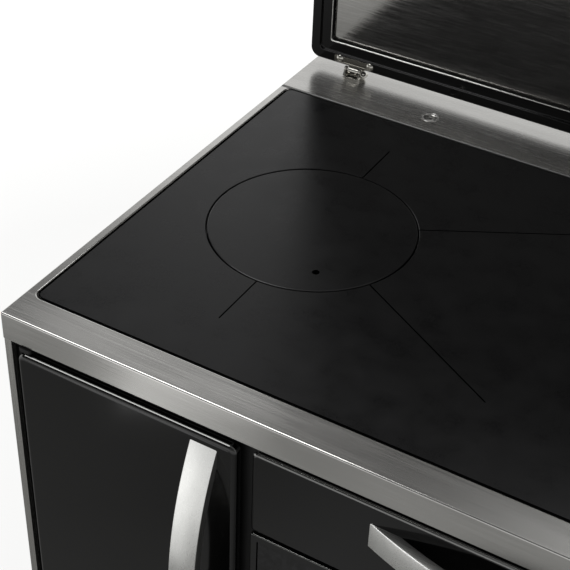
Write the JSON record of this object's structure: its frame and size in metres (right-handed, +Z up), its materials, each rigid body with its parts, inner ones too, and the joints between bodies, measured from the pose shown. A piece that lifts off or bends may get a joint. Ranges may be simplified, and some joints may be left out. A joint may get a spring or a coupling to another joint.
{
  "type": "wood-burning range cooker",
  "caption": "Wood-burning range cooker: steel-framed cast iron hob with lift-out disc, folding lid, firebox door, oven door, ash drawer and wood drawer.",
  "frame": {"origin": "bottom centre of the bounding box with the lid standing open", "axes": "+X to the right seen from the front, -Y towards the user, +Z up"},
  "size_m": [0.9, 0.686, 1.422],
  "materials": {
    "stainless": "brushed lengthways, satin",
    "bar_steel": "fine satin",
    "hob_iron": "matte black, machined flat",
    "cast_black": "matte black paint on cast iron",
    "black_enamel": "gloss black vitreous enamel",
    "liner_steel": "bright rolled stainless sheet",
    "plated_steel": "polished plating",
    "zinc_steel": "galvanised sheet",
    "oven_enamel": "speckled grey oven enamel",
    "firebrick": "rough fireclay",
    "mineral_board": "pressed mineral wool",
    "rope": "woven glass rope",
    "dark_glass": "black tinted glass",
    "clear_glass": "heat-proof glass",
    "rubber": "matte"
  },
  "bodies": {
    "cooker": {"back_panel": "zinc_steel", "base_pan": "zinc_steel", "casing_back": "zinc_steel", "casing_left": "zinc_steel", "casing_right": "zinc_steel", "corner_strips": "stainless", "drawer_heat_shield": "zinc_steel", "drawer_runners": "zinc_steel", "fire_grate": "cast_black", "firebox_back_wall": "cast_black", "firebox_hinge_brackets": "cast_black", "firebox_left_wall": "cast_black", "firebox_right_wall": "cast_black", "firebricks": "firebrick", "flue_box": "zinc_steel", "flue_collar": "cast_black", "front_frame": "cast_black", "grate_bearer": "cast_black", "hob_plate": "hob_iron", "insulation_boards": "mineral_board", "left_side_panel": "black_enamel", "levelling_feet": "zinc_steel", "lid_hinge_bases": "plated_steel", "lid_hinge_pins": "plated_steel", "oven_hinge_brackets": "cast_black", "oven_liner": "oven_enamel", "oven_rack": "plated_steel", "plinth": "cast_black", "rack_runners": "plated_steel", "rear_strip_plug": "stainless", "right_side_panel": "black_enamel", "top_frame": "stainless"},
    "lid": {"lid_shell": "black_enamel", "lid_liner": "liner_steel", "lid_buffers": "rubber", "lid_hinge_leaves": "plated_steel", "lid_hinge_screws": "plated_steel"},
    "hob_disc": {"hob_disc": "hob_iron"},
    "firebox_door": {"firebox_door_panel": "black_enamel", "firebox_door_shield": "cast_black", "firebox_door_gasket": "rope", "firebox_door_latch": "plated_steel", "firebox_door_handle": "bar_steel"},
    "oven_door": {"oven_door_panel": "black_enamel", "oven_door_frame": "black_enamel", "oven_door_glass": "dark_glass", "oven_door_body": "oven_enamel", "oven_door_inner_glass": "clear_glass", "oven_door_gasket": "rope", "oven_door_handle": "bar_steel"},
    "ash_drawer": {"ash_drawer_front": "black_enamel", "ash_pan": "zinc_steel", "ash_drawer_handle": "bar_steel"},
    "air_shutter": {"air_shutter": "plated_steel"},
    "wood_drawer": {"wood_drawer_front": "black_enamel", "wood_drawer_box": "zinc_steel", "wood_drawer_handle": "bar_steel"},
    "damper": {"damper_rod": "plated_steel", "damper_knob": "bar_steel", "damper_plate": "zinc_steel"}
  },
  "joints": [
    {"name": "lid_hinge", "type": "hinge", "parent": "cooker", "child": "lid", "pos_m": [0, 0.281, 0.857], "axis": [1, 0, 0], "range_deg": [0, 90]},
    {"name": "disc_lift", "type": "slide", "parent": "cooker", "child": "hob_disc", "axis": [0, 0, 1], "range_m": [0, 0.012]},
    {"name": "firebox_door_hinge", "type": "hinge", "parent": "cooker", "child": "firebox_door", "pos_m": [-0.423, -0.296, 0.638], "axis": [0, 0, -1], "range_deg": [0, 100]},
    {"name": "oven_door_hinge", "type": "hinge", "parent": "cooker", "child": "oven_door", "pos_m": [0.12725, -0.293, 0.312], "axis": [1, 0, 0], "range_deg": [0, 90]},
    {"name": "ash_drawer_slide", "type": "slide", "parent": "cooker", "child": "ash_drawer", "axis": [0, -1, 0], "range_m": [0, 0.3]},
    {"name": "air_shutter_slide", "type": "slide", "parent": "ash_drawer", "child": "air_shutter", "axis": [1, 0, 0], "range_m": [0, 0.011]},
    {"name": "wood_drawer_slide", "type": "slide", "parent": "cooker", "child": "wood_drawer", "axis": [0, -1, 0], "range_m": [0, 0.38]},
    {"name": "damper_slide", "type": "slide", "parent": "cooker", "child": "damper", "axis": [0, -1, 0], "range_m": [0, 0.05]}
  ]
}
